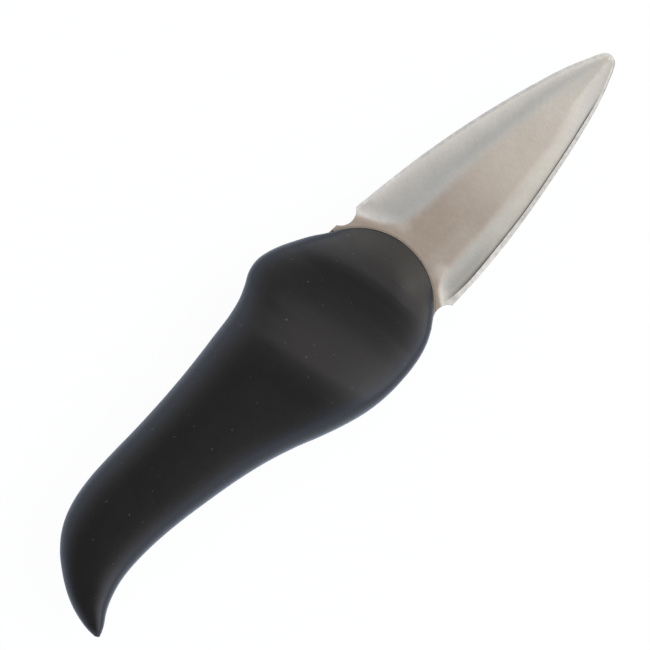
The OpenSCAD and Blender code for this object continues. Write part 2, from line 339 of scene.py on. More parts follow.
def blade_outline():
    """The blade and its tang in plan, anticlockwise."""
    top = TANG_MIDDLE + TANG_WIDTH / 2
    bottom = TANG_MIDDLE - TANG_WIDTH / 2
    corner_x = TANG_CORNER - TANG_REACH
    return np.vstack([
        blade_edges(),
        arc(UPPER_NOTCH, NOTCH_RADIUS, *UPPER_NOTCH_TURN, UPPER_NOTCH_POINTS),
        UPPER_SHOULDER,
        arc((corner_x, top - TANG_CORNER), TANG_CORNER, 90, 180, CORNER_POINTS),
        arc((corner_x, bottom + TANG_CORNER), TANG_CORNER, 180, 270, CORNER_POINTS),
        LOWER_SHOULDER,
        arc(LOWER_NOTCH, NOTCH_RADIUS, *LOWER_NOTCH_TURN, LOWER_NOTCH_POINTS),
    ])


def outward(loop):
    """At each point of an anticlockwise loop, the step that moves both its sides out by 1."""
    along = np.roll(loop, -1, axis=0) - loop
    along /= np.linalg.norm(along, axis=1)[:, None]
    side = np.column_stack([along[:, 1], -along[:, 0]])
    before = np.roll(side, 1, axis=0)
    return (side + before) / (1 + np.sum(side * before, axis=1))[:, None]


def inside(points, loop):
    """Which points lie inside a closed loop."""
    x, y = points[:, 0][:, None], points[:, 1][:, None]
    ax, ay = loop[:, 0], loop[:, 1]
    bx, by = np.roll(ax, -1), np.roll(ay, -1)
    spans = (ay > y) != (by > y)
    crossing = ax + (y - ay) * (bx - ax) / np.where(by == ay, 1e-9, by - ay)
    return np.sum(spans & (x < crossing), axis=1) % 2 == 1


def distance_to(points, line):
    """Distance from each point to an open line of points."""
    spans = np.diff(line, axis=0)
    squares = np.sum(spans**2, axis=1)
    best = np.full(len(points), np.inf)
    for start, span, square in zip(line[:-1], spans, squares):
        t = np.clip(((points - start) @ span) / square, 0, 1)
        best = np.minimum(best, np.linalg.norm(points - start - t[:, None] * span, axis=1))
    return best


def rim_width(points):
    """Width of the rim bevel at each point, which changes round the nose."""
    share = np.clip(0.5 + points[:, 1] / (2 * NOSE_RADIUS), 0, 1)
    return lower_rim(points[:, 0]) * (1 - share) + UPPER_RIM * share


def by_rim(points, edges):
    """Which points lie on the rim bevel."""
    return distance_to(points, edges) < rim_width(points)


def side_height(x, y, edge, grind, rim, plunge):
    """Height of one ground side over the mid-plane. y rises towards that side's edge. The
    plunge is where the grind starts, with a fillet between it and the ground face."""
    inner = edge(x) - rim
    plain = grind(np.maximum(x, PLAIN_START))
    q = np.maximum((inner - y) / (inner - plain), 0)
    face = HALF_GROUND + (HALF_BLADE - HALF_GROUND) * q**HOLLOW
    return smooth_max(face, plunge, PLAIN_FILLET + PLUNGE_FILLET * ramp(x, *FILLET_FADES))


def upper_height(x, y):
    """Height of the ground side towards +Y over the mid-plane."""
    plunge = HALF_BLADE - UPPER_PLUNGE * (y - upper_grind(x))
    return side_height(x, y, upper_edge, upper_grind, UPPER_RIM, plunge)


def lower_height(x, y):
    """The same towards -Y, where the wheel left a steeper plunge that flattens out."""
    slant = (lower_grind(x + SLANT_STEP) - lower_grind(x - SLANT_STEP)) / (2 * SLANT_STEP)
    past = (-y - lower_grind(x)) / np.sqrt(1 + slant**2)
    run = np.clip(past, 0, PLUNGE_REACH)
    plunge = HALF_BLADE - LOWER_PLUNGE * (np.minimum(past, run) - run**2 / (2 * PLUNGE_REACH))
    return side_height(x, -y, lower_edge, lower_grind, lower_rim(x), plunge)


def blade_height(points, to_edge, on_rim):
    """Height of the blade's upper face over the mid-plane, by whether a point is on the rim."""
    x, y = points[:, 0], points[:, 1]
    ground = smooth_min(upper_height(x, y), lower_height(x, y), SIDES_CREASE)
    crease = np.where(y > 0, upper_crease(x), lower_crease(x))
    top = smooth_min(np.full(len(x), HALF_BLADE), ground, crease)
    width = rim_width(points)
    fall = np.minimum(RIM_SLOPE, (HALF_GROUND - HALF_RIM) / width)
    top = np.where(on_rim, HALF_GROUND - fall * (width - to_edge), top)
    radius = np.hypot(x - LIP_MIDDLE[0], y - LIP_MIDDLE[1])
    past_step = np.clip((radius - STEP_RADIUS) / STEP_WIDTH, 0, 1)
    past_step = np.where(x < LIP_MIDDLE[0], 0, past_step)
    return np.minimum(top, HALF_TANG + (HALF_BLADE - HALF_TANG) * past_step)


def top_height(plan, edges, on_rim):
    """Height of the upper face at plan points."""
    return blade_height(plan, distance_to(plan, edges), on_rim)


def top_normals(plan, edges, on_rim):
    """Normals of the upper face at plan points, from its slopes along X and Y."""
    slopes = []
    for step in ((SLOPE_STEP, 0), (0, SLOPE_STEP)):
        rise = top_height(plan + step, edges, on_rim) - top_height(plan - step, edges, on_rim)
        slopes.append(rise / (2 * SLOPE_STEP))
    normals = np.column_stack([-slopes[0], -slopes[1], np.ones(len(plan))])
    return normals / np.linalg.norm(normals, axis=1)[:, None]


def hex_grid(low, high, pitch):
    """Points of a triangular grid over a box."""
    rows = np.arange(low[1], high[1], pitch * math.sqrt(3) / 2)
    columns = np.arange(low[0], high[0], pitch)
    return np.array([(x + (k % 2) * pitch / 2, y) for k, y in enumerate(rows) for x in columns])


def guide_lines(edges, top_loop):
    """Open lines that the mesh follows: the rim's inner border, the dark lines, and both sides
    of the relief's step."""
    edge_step = outward(np.vstack([edges, [(0, 0)]]))[:-1]
    inner_rim = edges - edge_step * rim_width(edges)[:, None]
    below = edges[:, 1] < 0
    by_line = below & (edges[:, 0] < LINE_STOPS)
    dark_lines = [
        (edges - edge_step * (lower_rim(edges[:, 0]) + reach)[:, None])[by_line][2:]
        for reach in (DARK_LINE, 2 * DARK_LINE)
    ]
    tip_line = (edges - edge_step * TIP_LINE)[below & (edges[:, 0] > TIP_START)]
    steps = [
        arc(LIP_MIDDLE, STEP_RADIUS + width, *STEP_TURN, STEP_POINTS) for width in (0, STEP_WIDTH)
    ]
    steps = [step[inside(step, top_loop)] for step in steps]
    return [inner_rim[1:-1], tip_line] + dark_lines + steps


def plan_grid(top_loop, holes, lines):
    """Grid points inside the outline, fine on the blade, coarse on the tang, clear of all lines."""
    closed = np.vstack([top_loop, top_loop[:1]])
    fine = hex_grid(*FINE_BOX, FINE_PITCH)
    fine = fine[distance_to(fine, closed) > FINE_FROM_EDGE]
    for line in lines:
        fine = fine[distance_to(fine, line) > FINE_FROM_LINE]
    coarse = hex_grid(*COARSE_BOX, COARSE_PITCH)
    coarse = coarse[distance_to(coarse, closed) > COARSE_CLEAR]
    for hole in holes:
        from_hole = np.linalg.norm(coarse - hole.mean(axis=0), axis=1)
        coarse = coarse[from_hole > TANG_HOLE / 2 + COARSE_CLEAR]
    grid = np.vstack([fine, coarse])
    return grid[inside(grid, top_loop)]


def triangulate(loops, lines, grid):
    """Plan points and triangles inside the first loop and outside the others."""
    points = []
    links = []
    for loop in loops:
        first = len(points)
        points += [tuple(p) for p in loop]
        links += [(first + k, first + (k + 1) % len(loop)) for k in range(len(loop))]
    for line in lines:
        first = len(points)
        points += [tuple(p) for p in line]
        links += [(first + k, first + k + 1) for k in range(len(line) - 1)]
    points += [tuple(p) for p in grid]
    made = delaunay_2d_cdt([Vector(p) for p in points], links, [], 0, 1e-6)
    plan = np.array([tuple(v) for v in made[0]])
    triangles = np.array([tuple(f) for f in made[2]])
    middles = plan[triangles].mean(axis=1)
    keep = inside(middles, loops[0])
    for hole in loops[1:]:
        keep &= ~inside(middles, hole)
    triangles = triangles[keep]
    used = np.unique(triangles)
    renumber = np.full(len(plan), -1)
    renumber[used] = np.arange(len(used))
    return plan[used], renumber[triangles]


def corner_probes(plan, triangles, edges):
    """A plan point just inside each corner of each triangle, and whether it is on the rim. Normals
    taken there keep the creases between faces sharp."""
    corners = plan[triangles]
    centres = corners.mean(axis=1)
    on_rim = np.repeat(by_rim(centres, edges), 3)
    inward = centres[:, None, :] - corners
    inward = inward / np.linalg.norm(inward, axis=2)[..., None]
    return (corners + PROBE_STEP * inward).reshape(-1, 2), on_rim


def border_loops(triangles):
    """The border loops of a triangulated face, each as its point numbers in turn."""
    directed = {}
    for a, b, c in triangles:
        for i, j in ((a, b), (b, c), (c, a)):
            directed[(i, j)] = True
    border = {i: j for (i, j) in directed if (j, i) not in directed}
    loops = []
    while border:
        start = next(iter(border))
        loop = [start]
        while True:
            loop.append(border.pop(loop[-1]))
            if loop[-1] == start:
                break
        loops.append(np.array(loop[:-1]))
    return loops


def side_rings(plan, level):
    """Points and normals of the rings round one border loop: over the rounded upper edge, down
    the side and over the rounded lower edge. level is the upper face's height along the loop."""
    out = outward(plan)
    unit = out / np.linalg.norm(out, axis=1)[:, None]
    turns = np.radians(EDGE_TURNS)
    points = []
    normals = []
    for side, order in ((1, turns), (-1, turns[::-1])):
        for turn in order:
            moved = plan + EDGE_ROUND * math.sin(turn) * out
            z = level - EDGE_ROUND * (1 - math.cos(turn))
            points.append(np.column_stack([moved, side * z]))
            upright = np.full(len(plan), side * math.cos(turn))
            normals.append(np.column_stack([unit * math.sin(turn), upright]))
    return points, normals


def side_faces(rings, normals):
    """Quads between each ring and the next, with a normal for each corner."""
    faces = []
    corner_normals = []
    size = len(rings[0])
    for k in range(len(rings) - 1):
        upper, lower = rings[k], rings[k + 1]
        above, under = normals[k], normals[k + 1]
        for i in range(size):
            j = (i + 1) % size
            faces.append((upper[i], lower[i], lower[j], upper[j]))
            corner_normals.append(np.array([above[i], under[i], under[j], above[j]]))
    return faces, corner_normals


def make_blade():
    """The blade as one closed mesh: two mirrored faces and the sides between them."""
    edges = blade_edges()
    outline = blade_outline()
    top_loop = outline - EDGE_ROUND * outward(outline)
    last_turn = 360 - 360 / HOLE_POINTS
    holes = [arc((x, TANG_MIDDLE), TANG_HOLE / 2, 0, last_turn, HOLE_POINTS) for x in PEG_PLACES]
    holes = [hole + EDGE_ROUND * outward(hole) for hole in holes]
    lines = guide_lines(edges, top_loop)
    grid = plan_grid(top_loop, holes, lines)
    plan, triangles = triangulate([top_loop] + holes, lines, grid)
    height = top_height(plan, edges, by_rim(plan, edges))
    probe, rim_corner = corner_probes(plan, triangles, edges)
    normals = top_normals(probe, edges, rim_corner).reshape(-1, 3, 3)

    count = len(plan)
    vertices = [np.column_stack([plan, height]), np.column_stack([plan, -height])]
    faces = [tuple(t) for t in triangles] + [tuple(t[::-1] + count) for t in triangles]
    below = normals[:, ::-1, :] * (1, 1, -1)
    face_normals = [normals.reshape(-1, 3), below.reshape(-1, 3)]
    total = 2 * count
    for loop in border_loops(triangles):
        size = len(loop)
        points, ring_normals = side_rings(plan[loop], height[loop])
        rings = [np.arange(total + k * size, total + (k + 1) * size) for k in range(len(points))]
        total += len(points) * size
        up = np.tile((0.0, 0.0, 1.0), (size, 1))
        new_faces, new_normals = side_faces(
            [loop] + rings + [loop + count], [up] + ring_normals + [-up]
        )
        vertices += points
        faces += new_faces
        face_normals += new_normals

    vertices = np.vstack(vertices)
    mesh = bpy.data.meshes.new("blade_steel")
    mesh.from_pydata(to_row(vertices).tolist(), [], [tuple(int(i) for i in f) for f in faces])
    mesh.shade_smooth()
    mesh.normals_split_custom_set(np.vstack(face_normals).tolist())

    # The shares at each corner, with the painted reflections and painted shade among them: of the
    # upper face, of the lower one, then of the sides
    probe_below = probe.reshape(-1, 3, 2)[:, ::-1, :].reshape(-1, 2)
    rim_below = rim_corner.reshape(-1, 3)[:, ::-1].ravel()
    sides = vertices[[i for face in faces[2 * len(triangles):] for i in face], :2]
    corners = np.vstack([probe, probe_below, sides])
    on_rim = np.concatenate([rim_corner, rim_below, by_rim(sides, edges)])
    values = blade_faces_and_painted_light(corners, distance_to(corners, edges), on_rim)
    finish_and_painted_light = mesh.color_attributes.new("finish_and_painted_light", "FLOAT_COLOR", "CORNER")
    finish_and_painted_light.data.foreach_set("color", values.astype(np.float32).ravel())
    return mesh


def ground_share(x, y, height):
    """1 on the ground faces and 0 on the flat, with a border that widens towards the nose."""
    ground = np.clip((HALF_BLADE - height - GROUND_START) / ground_depth(x), 0, 1)
    past_grind = np.maximum(-y - lower_grind(x), y - upper_grind(x))
    wide = np.clip(0.5 + past_grind / WIDE_BORDER, 0, 1)
    return eased(ground + (wide - ground) * ramp(x, *BORDER_WIDENS))


def painted_streak_share(x, y):
    """Strength of the darker streak on the +Y ground face, a painted reflection."""
    streak = np.exp(-(((y - streak_y(x)) / streak_width(x)) ** 2))
    return streak * ramp(x, *STREAK_STARTS) * ramp(x, *STREAK_ENDS)


def painted_shade_share(x, y, to_edge, on_rim):
    """Strength of the painted shade: the dark line inside the -Y rim, with the shade beside it at
    the heel, and of the line at the tip."""
    across = to_edge - lower_rim(x)
    fall = (np.maximum(across, 0) / line_softness(x)) ** LINE_FALL
    beside = line_strength(x) * ramp(x, *LINE_ENDS) * np.exp(-fall)
    shade = SHADE * np.exp(-(((across - SHADE_MIDDLE) / SHADE_WIDTH) ** 2))
    shade = shade * ramp(x, *SHADE_STARTS) * ramp(x, *SHADE_ENDS)
    line = np.where(on_rim | (y > 0), 0, np.maximum(beside, shade))
    at_tip = ramp(x, *TIP_GROWS) * ramp(-y, *TIP_SIDE)
    return np.maximum(line, TIP_STRENGTH * at_tip * np.clip(1 - to_edge / TIP_LINE, 0, 1))


def rim_and_painted_band_share(x, y, inward, on_rim):
    """1 on either rim, and on the light band inside the +Y one, a painted reflection, a share that
    grows towards it. inward is the distance past the rim's inner border."""
    band = np.clip(1 - inward / band_width(x), 0, 1) * ramp(y, *BAND_SIDE) * ramp(x, *BAND_STARTS)
    return np.where(on_rim, 1, BAND_SHARE * band**2)


def blade_faces_and_painted_light(plan, to_edge, on_rim):
    """At plan points, the four shares above: ground faces and rims, with the painted reflections
    and painted shade.
    """
    x, y = plan[:, 0], plan[:, 1]
    height = blade_height(plan, to_edge, False)
    on_blade = np.hypot(x - LIP_MIDDLE[0], y - LIP_MIDDLE[1]) > STEP_RADIUS
    return np.column_stack([
        ground_share(x, y, height) * on_blade,
        painted_streak_share(x, y),
        painted_shade_share(x, y, to_edge, on_rim),
        rim_and_painted_band_share(x, y, to_edge - rim_width(plan), on_rim) * on_blade,
    ])


# Grip

crown = curve(CROWN)
crest_slant = curve(CREST_SLANT)
crest_bend = curve(CREST_BEND)


def half_thickness(x, y):
    """Half the handle's thickness over the plan point, where x is its ring's middle."""
    v = y - LIP_MIDDLE[1]
    shift = np.clip(crest_slant(x) * v + crest_bend(x) * v**2, -SLANT_REACH, SLANT_REACH)
    return crown(np.where(x < SLANT_START, x, x + shift))


def grip_rows():
    """Rungs across the handle for its rings, from the tail's tip to the front of the lip."""
    rungs = curve([(k, *rung) for k, rung in enumerate(RUNGS)])
    rows = rungs(np.linspace(0, len(RUNGS) - 1, TAIL_RINGS))
    share = 1 - np.linspace(0, LIP_END, LIP_RINGS)[1:]
    front = []
    for angle in LIP_ANGLES:
        turn = np.radians(angle * share)
        front.append(LIP_MIDDLE + LIP_RADIUS * np.column_stack([np.cos(turn), np.sin(turn)]))
    return np.vstack([rows, np.column_stack(front)])


def eased_front(over_wall, plan):
    """The height over the lip's wall, kept under an even slope that rises from the lip. The slope
    fades out towards the lip's two ends."""
    from_lip = plan - LIP_MIDDLE
    plain = LIP_SLOPE * np.maximum(LIP_RADIUS - np.hypot(*from_lip.T), 0)
    bearing = np.degrees(np.arctan2(from_lip[:, 1], from_lip[:, 0]))
    from_end = np.minimum(LIP_ANGLES[0] - bearing, bearing - LIP_ANGLES[1])
    share = eased(ramp(from_end, *LIP_FADES))
    return over_wall + share * (smooth_min(over_wall, plain, LIP_BLEND) - over_wall)


def grip_rings():
    """Closed rings of points along the handle, from the tail's tip to the front of the lip."""
    turn = 2 * np.pi * np.arange(RING_POINTS) / RING_POINTS
    cos, sin = np.cos(turn), np.sin(turn)
    reach = np.sign(cos) * np.abs(cos) ** (2 / ROUNDNESS)
    rise = np.abs(sin) ** (2 / ROUNDNESS)
    on_wall = np.clip(np.abs(sin) / math.sin(math.radians(WALL_TURN)), 0, 1)
    rings = []
    for row in grip_rows():
        upper, lower = row[:2], row[2:]
        middle, half = (upper + lower) / 2, (upper - lower) / 2
        plan = middle + half * reach[:, None]
        wall = LIP * ramp(middle[0], *WALL_RISES)
        thickness = half_thickness(np.full(len(plan), middle[0]), plan[:, 1])
        over_wall = eased_front((np.maximum(thickness, wall) - wall) * rise, plan)
        z = np.sign(sin) * (wall * on_wall + np.maximum(over_wall, 0))
        rings.append(np.column_stack([plan, z]))
    return np.array(rings)


def make_grip():
    """The grip as one closed mesh through its rings, with a fan over either end."""
    rings = grip_rings()
    count, size = rings.shape[:2]
    faces = []
    for i in range(count - 1):
        for k in range(size):
            a, b = i * size + k, i * size + (k + 1) % size
            faces.append((a, a + size, b + size, b))
    ends = np.array([rings[0].mean(axis=0), rings[-1].mean(axis=0)])
    tail, front = count * size, count * size + 1
    for k in range(size):
        following = (k + 1) % size
        faces.append((tail, k, following))
        faces.append((front, (count - 1) * size + following, (count - 1) * size + k))
    mesh = bpy.data.meshes.new("soft_grip")
    # The smooth curves run a few hundredths past the solids, so the points are kept in their box.
    vertices = np.clip(to_row(np.vstack([rings.reshape(-1, 3), ends])), cad_box[0], cad_box[1])
    mesh.from_pydata(vertices.tolist(), [], faces)
    mesh.shade_smooth()
    for edge in mesh.edges:
        first, second = sorted(edge.vertices)
        along = second - first == size and first % size in (1, size - 1)
        edge.use_edge_sharp = bool(along and rings[first // size, first % size, 0] > SHARP_FROM)
    return mesh


# Materials

# Stretches in row metres over which the steel's colour changes, along X and then across, in Y
PAST_HEEL = (0.036, 0.066)
TO_NOSE = (0.068, 0.088)
AT_NOSE = (0.086, 0.098)
RIM_SETTLES = (0.038, 0.053)
# Painted highlight: the flat is lighter below the axis between these places.
LIGHT_STARTS = (0.0275, 0.03)
LIGHT_ENDS = (0.0405, 0.045)
LIGHT_SIDE = (-0.0085, -0.0058)
UPPER_SIDE = (-0.006, -0.002)
# The flat's painted highlights beside the notches, in drawing millimetres, as (x, y), reach, amount
PAINTED_HIGHLIGHT_PLACES = [((4.4, -7.9), 3.6, 0.68), ((6.5, 7.8), 3.2, 0.4)]
PAINTED_HIGHLIGHT_AMOUNT = 0.28
STREAK_AMOUNT = 0.75
# Colours of the flat from the heel to the nose, the heel's darkened by painted shade, and of
# its painted highlights
FLAT_HEEL_WITH_PAINTED_SHADE = (0.425, 0.37, 0.315)
FLAT_MIDDLE = (0.59, 0.55, 0.485)
FLAT_PATCHES = ((0.61, 0.61, 0.54), (0.62, 0.59, 0.535))
FLAT_NOSE = (0.54, 0.53, 0.46)
FLAT_PAINTED_HIGHLIGHT = (0.6, 0.565, 0.515)
# Colours of the ground faces from the heel to the nose, of the painted band and painted streak
LOWER_BEVEL_HEEL = (0.5, 0.5, 0.465)
LOWER_BEVEL_MIDDLE = (0.568, 0.558, 0.5)
LOWER_BEVEL_NOSE = (0.543, 0.539, 0.516)
UPPER_BEVEL_HEEL = (0.52, 0.52, 0.5)
UPPER_BEVEL_MIDDLE = (0.58, 0.575, 0.54)
BEVEL_NOSE = (0.54, 0.53, 0.48)
PAINTED_BAND_COLOUR = (0.72, 0.71, 0.67)
PAINTED_STREAK_COLOUR = (0.46, 0.48, 0.46)
# Colour of the painted shade lines
PAINTED_SHADE_COLOUR = (0.03, 0.028, 0.028)
# The two colours that each rim is speckled with
UPPER_RIM_COLOURS = ((0.62, 0.62, 0.585), (0.51, 0.51, 0.48))
LOWER_RIM_COLOURS = ((0.51, 0.505, 0.475), (0.4, 0.395, 0.365))
# Colours of the grip, clean, worn and dusty, and of the core
RUBBER = (0.0032, 0.003, 0.0031)
WORN_RUBBER = (0.0052, 0.0048, 0.0046)
DUST = (0.075, 0.07, 0.06)
CORE_COLOURS = ((0.09, 0.09, 0.095), (0.11, 0.11, 0.115))
# Share of the floor that is plain white to the camera
FLOOR_WHITE = 0.96


class Nodes:
    """Short forms for building a node tree."""

    def __init__(self, tree):
        self.tree = tree

    def add(self, kind, **values):
        node = self.tree.nodes.new(kind)
        for name, value in values.items():
            setattr(node, name, value)
        return node

    def link(self, source, target):
        self.tree.links.new(source, target)

    def math(self, operation, a, b):
        node = self.add("ShaderNodeMath", operation=operation)
        for socket, value in zip(node.inputs, (a, b)):
            if isinstance(value, (int, float)):
                socket.default_value = value
            else:
                self.link(value, socket)
        return node.outputs[0]

    def mix(self, factor, a, b):
        node = self.add("ShaderNodeMix", data_type="RGBA")
        for socket, value in ((node.inputs[0], factor), (node.inputs[6], a), (node.inputs[7], b)):
            if isinstance(value, tuple):
                socket.default_value = (*value, 1)
            else:
                self.link(value, socket)
        return node.outputs[2]

    def scale(self, colour, factor):
        node = self.add("ShaderNodeVectorMath", operation="SCALE")
        self.link(colour, node.inputs[0])
        self.link(factor, node.inputs["Scale"])
        return node.outputs[0]

    def spread(self, value, low, high, to_low, to_high, soft=False):
        """Carries one stretch of values to another and stops at its ends."""
        node = self.add("ShaderNodeMapRange")
        if soft:
            node.interpolation_type = "SMOOTHSTEP"
        self.link(value, node.inputs[0])
        for socket, number in zip(node.inputs[1:5], (low, high, to_low, to_high)):
            socket.default_value = number
        return node.outputs[0]

    def parts(self, vector):
        node = self.add("ShaderNodeSeparateXYZ")
        self.link(vector, node.inputs[0])
        return node.outputs

    def place(self):
        """The place on the part, in row metres."""
        return self.add("ShaderNodeTexCoord").outputs["Object"]

    def near(self, point, reach, amount):
        """Falls from amount at a plan point to nothing at the reach, alike on both faces."""
        apart = self.add("ShaderNodeVectorMath", operation="DISTANCE")
        self.link(self.place(), apart.inputs[0])
        apart.inputs[1].default_value = to_row((*point, 0)).tolist()
        value = apart.outputs["Value"]
        return self.spread(value, HALF_BLADE * MM, reach * MM, amount, 0, soft=True)

    def noise(self, scale, detail, roughness, stretch=(1, 1, 1), offset=(0, 0, 0)):
        """Noise over the part. scale is in features per metre."""
        mapping = self.add("ShaderNodeMapping")
        mapping.inputs["Scale"].default_value = stretch
        mapping.inputs["Location"].default_value = offset
        self.link(self.place(), mapping.inputs["Vector"])
        node = self.add("ShaderNodeTexNoise")
        node.inputs["Scale"].default_value = scale
        node.inputs["Detail"].default_value = detail
        node.inputs["Roughness"].default_value = roughness
        self.link(mapping.outputs[0], node.inputs["Vector"])
        return node.outputs["Fac"]

    def bump(self, height, distance, strength, normal=None):
        node = self.add("ShaderNodeBump")
        node.inputs["Strength"].default_value = strength
        node.inputs["Distance"].default_value = distance
        self.link(height, node.inputs["Height"])
        if normal is not None:
            self.link(normal, node.inputs["Normal"])
        return node.outputs[0]


def new_material(name):
    material = bpy.data.materials.new(name)
    material.use_nodes = True
    nodes = Nodes(material.node_tree)
    shader = material.node_tree.nodes["Principled BSDF"]
    return material, nodes, shader


def flat_colour(n, x, y):
    """Warm at the heel, where painted shade also darkens it, and paler towards the nose. At the
    heel a painted highlight makes it lighter below the axis, most of all beside the notches."""
    patch = n.spread(n.noise(130, 2, 0.5), 0.4, 0.6, 0, 1)
    flat = n.mix(n.spread(x, *PAST_HEEL, 0, 1, soft=True), FLAT_HEEL_WITH_PAINTED_SHADE, FLAT_MIDDLE)
    flat = n.mix(n.spread(x, *TO_NOSE, 0, 1), flat, n.mix(patch, *FLAT_PATCHES))
    flat = n.mix(n.spread(x, *AT_NOSE, 0, 1), flat, FLAT_NOSE)
    lighter = n.spread(y, *LIGHT_SIDE, PAINTED_HIGHLIGHT_AMOUNT, 0)
    lighter = n.math("MULTIPLY", lighter, n.spread(x, *LIGHT_ENDS, 1, 0))
    lighter = n.math("MULTIPLY", lighter, n.spread(x, *LIGHT_STARTS, 0, 1))
    for point, reach, amount in PAINTED_HIGHLIGHT_PLACES:
        lighter = n.math("ADD", lighter, n.near(point, reach, amount))
    return n.mix(lighter, flat, FLAT_PAINTED_HIGHLIGHT)


def bevel_colour(n, x, upper_side, rim):
    """Grey ground faces, with a light band inside the +Y rim as a painted reflection."""
    past_heel = n.spread(x, *PAST_HEEL, 0, 1, soft=True)
    lower = n.mix(past_heel, LOWER_BEVEL_HEEL, LOWER_BEVEL_MIDDLE)
    lower = n.mix(n.spread(x, *TO_NOSE, 0, 1), lower, LOWER_BEVEL_NOSE)
    upper = n.mix(past_heel, UPPER_BEVEL_HEEL, UPPER_BEVEL_MIDDLE)
    bevel = n.mix(upper_side, lower, upper)
    bevel = n.mix(n.spread(x, *AT_NOSE, 0, 1), bevel, BEVEL_NOSE)
    return n.mix(n.spread(rim, 0, BAND_SHARE, 0, 1), bevel, PAINTED_BAND_COLOUR)


def rim_colour(n, x, upper_side):
    """Speckled rims, lighter at the heel."""
    speck = n.spread(n.noise(650, 3, 0.55), 0.36, 0.64, 0, 1)
    upper = n.mix(speck, *UPPER_RIM_COLOURS)
    lower = n.mix(speck, *LOWER_RIM_COLOURS)
    return n.scale(n.mix(upper_side, lower, upper), n.spread(x, *RIM_SETTLES, 1.3, 1.02))


def steel():
    """Brushed steel with a warm flat, greyer ground faces and speckled rims, told apart by a colour
    attribute that also carries painted reflections and painted shade."""
    material, n, shader = new_material("satin_steel")
    finish_and_painted_light = n.add("ShaderNodeAttribute", attribute_name="finish_and_painted_light")
    shares = n.add("ShaderNodeSeparateColor")
    n.link(finish_and_painted_light.outputs["Color"], shares.inputs[0])
    ground, streak, line = shares.outputs[0], shares.outputs[1], shares.outputs[2]
    rim = finish_and_painted_light.outputs["Alpha"]
    place = n.parts(n.place())
    x, y = place["X"], place["Y"]
    upper_side = n.spread(y, *UPPER_SIDE, 0, 1)
    colour = n.mix(ground, flat_colour(n, x, y), bevel_colour(n, x, upper_side, rim))
    # Painted reflection: the darker streak on the +Y ground face.
    colour = n.mix(n.math("MULTIPLY", streak, STREAK_AMOUNT), colour, PAINTED_STREAK_COLOUR)
    colour = n.mix(n.spread(rim, BAND_SHARE, 0.9, 0, 1), colour, rim_colour(n, x, upper_side))
    grain = n.noise(1000, 2, 0.6, stretch=(2.2, 0.7, 1))
    shade = n.spread(n.noise(160, 3, 0.55), 0.3, 0.7, 0.97, 1.03)
    shade = n.math("MULTIPLY", shade, n.spread(grain, 0.3, 0.7, 0.955, 1.045))
    # Painted shade: the dark lines inside the -Y rim and at the tip.
    colour = n.mix(line, n.scale(colour, shade), PAINTED_SHADE_COLOUR)
    n.link(colour, shader.inputs["Base Color"])
    shader.inputs["Metallic"].default_value = 1
    shader.inputs["Specular Tint"].default_value = (0.5, 0.5, 0.5, 1)
    # Brush marks run across the blade.
    brush = n.noise(1000, 2, 0.6, stretch=(6, 0.25, 1))
    fine = n.noise(1000, 2, 0.6, stretch=(14, 0.6, 1))
    n.link(n.spread(brush, 0.3, 0.7, 0.4, 0.46), shader.inputs["Roughness"])
    normal = n.bump(brush, 0.00001, 0.14)
    normal = n.bump(fine, 0.000006, 0.12, normal)
    n.link(normal, shader.inputs["Normal"])
    return material


def soft_grip():
    """Matt black rubber with a bluish bloom, clouded wear and a few specks of dust."""
    material, n, shader = new_material("soft_rubber")
    worn = n.spread(n.noise(70, 3, 0.6), 0.35, 0.75, 0, 1)
    speck = n.noise(900, 1, 0.5, offset=(3, 5, 1))
    colour = n.mix(n.spread(speck, 0.76, 0.79, 0, 0.5), n.mix(worn, RUBBER, WORN_RUBBER), DUST)
    n.link(colour, shader.inputs["Base Color"])
    shader.inputs["Specular IOR Level"].default_value = 0.37
    rough = n.spread(n.noise(400, 3, 0.6), 0.3, 0.7, 0.24, 0.3)
    n.link(rough, shader.inputs["Roughness"])
    shader.inputs["Sheen Weight"].default_value = 0.14
    shader.inputs["Sheen Roughness"].default_value = 0.29
    shader.inputs["Sheen Tint"].default_value = (0.4, 0.6, 1, 1)
    normal = n.bump(n.noise(600, 2, 0.5), 0.00004, 0.18)
    normal = n.bump(n.noise(4500, 2, 0.5), 0.00002, 0.25, normal)
    n.link(normal, shader.inputs["Normal"])
    return material


def core_plastic():
    """Dark moulded plastic with a fine texture."""
    material, n, shader = new_material("core_plastic")
    n.link(n.mix(n.noise(120, 3, 0.6), *CORE_COLOURS), shader.inputs["Base Color"])
    n.link(n.spread(n.noise(900, 2, 0.5), 0.3, 0.7, 0.5, 0.62), shader.inputs["Roughness"])
    n.link(n.bump(n.noise(3000, 2, 0.5), 0.00003, 0.3), shader.inputs["Normal"])
    return material


def floor_material():
    """White to the camera, with a faint shadow."""
    material, n, shader = new_material("floor_white")
    shader.inputs["Base Color"].default_value = (0.76, 0.86, 1, 1)
    shader.inputs["Roughness"].default_value = 1
    shader.inputs["Specular IOR Level"].default_value = 0
    rays = n.add("ShaderNodeLightPath").outputs
    seen = n.math("MAXIMUM", rays["Is Camera Ray"], rays["Is Transmission Ray"])
    white = n.add("ShaderNodeEmission")
    blend = n.add("ShaderNodeMixShader")
    n.link(n.math("MULTIPLY", seen, FLOOR_WHITE), blend.inputs[0])
    n.link(shader.outputs[0], blend.inputs[1])
    n.link(white.outputs[0], blend.inputs[2])
    n.link(blend.outputs[0], material.node_tree.nodes["Material Output"].inputs[0])
    return material


# Scene

FLOOR_HALF = 3.0
